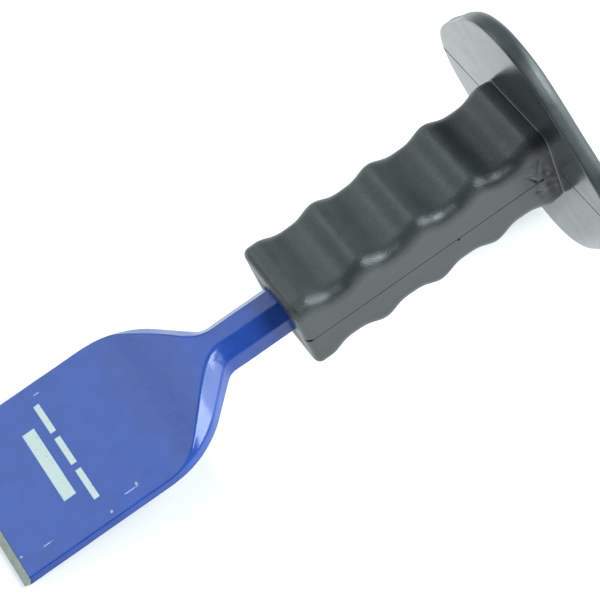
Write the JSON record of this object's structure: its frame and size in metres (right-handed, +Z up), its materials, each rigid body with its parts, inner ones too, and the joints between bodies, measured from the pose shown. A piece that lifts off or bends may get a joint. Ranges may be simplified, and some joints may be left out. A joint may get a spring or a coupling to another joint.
{
  "type": "bolster chisel with hand guard",
  "caption": "Wide-blade cold chisel (brick bolster) forged in one piece, with an octagonal shank and a moulded finger-groove grip whose guard shields the hand below the struck head.",
  "frame": {"origin": "on the bench, under the centre of the tool's bounding box, as the tool lies at rest on the back of its blade and the lowest corner of its guard", "axes": "+X towards the struck head, seen from above; +Z up, on the side of the blade's front face; +Y across the blade. The tool's own axis rises towards the head by 13.48 degrees from +X, in the XZ plane"},
  "size_m": [0.2072, 0.092, 0.0949],
  "materials": {
    "blue_paint": "gloss",
    "black_pvc": "satin"
  },
  "bodies": {
    "chisel": {"chisel_forging": "blue_paint"},
    "grip": {"hand_guard_grip": "black_pvc"}
  },
  "joints": [
    {"name": "grip_pull_off", "type": "slide", "parent": "chisel", "child": "grip", "axis": [0.9725, 0, 0.2331], "range_m": [0, 0.105]}
  ]
}
